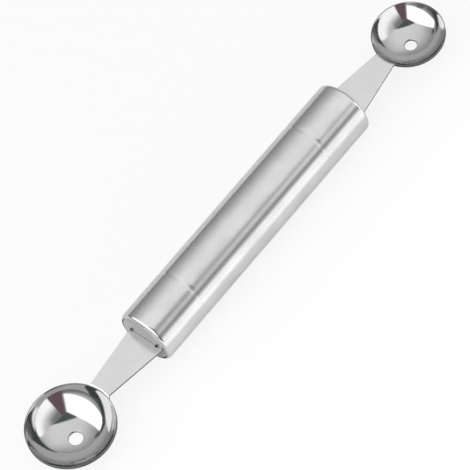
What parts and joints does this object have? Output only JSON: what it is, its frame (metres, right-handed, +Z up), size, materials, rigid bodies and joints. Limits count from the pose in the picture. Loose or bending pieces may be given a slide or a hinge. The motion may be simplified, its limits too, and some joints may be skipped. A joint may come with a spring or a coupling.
{
  "type": "melon baller",
  "caption": "Double-ended melon baller: a large and a small drained steel scoop on flat tapered necks, set in the capped ends of a round hollow steel handle.",
  "frame": {"origin": "under the middle of the outline, on the surface that the tool lies on", "axes": "+X along the handle towards the small bowl, +Z up out of the open side of both bowls, +Y completes the frame"},
  "size_m": [0.1996, 0.0294, 0.02],
  "materials": {
    "tube_steel": "stainless steel tube, polished, with faint wiping marks",
    "cap_steel": "pressed stainless steel sheet, satin face and polished edge",
    "scoop_steel": "stamped stainless steel sheet, polished bowls and satin necks",
    "core_plastic": "plain moulded plastic, unseen inside the handle"
  },
  "bodies": {
    "root": {"handle_tube": "tube_steel", "large_end_cap": "cap_steel", "small_end_cap": "cap_steel", "large_core": "core_plastic", "small_core": "core_plastic", "large_scoop": "scoop_steel", "small_scoop": "scoop_steel"}
  },
  "joints": []
}
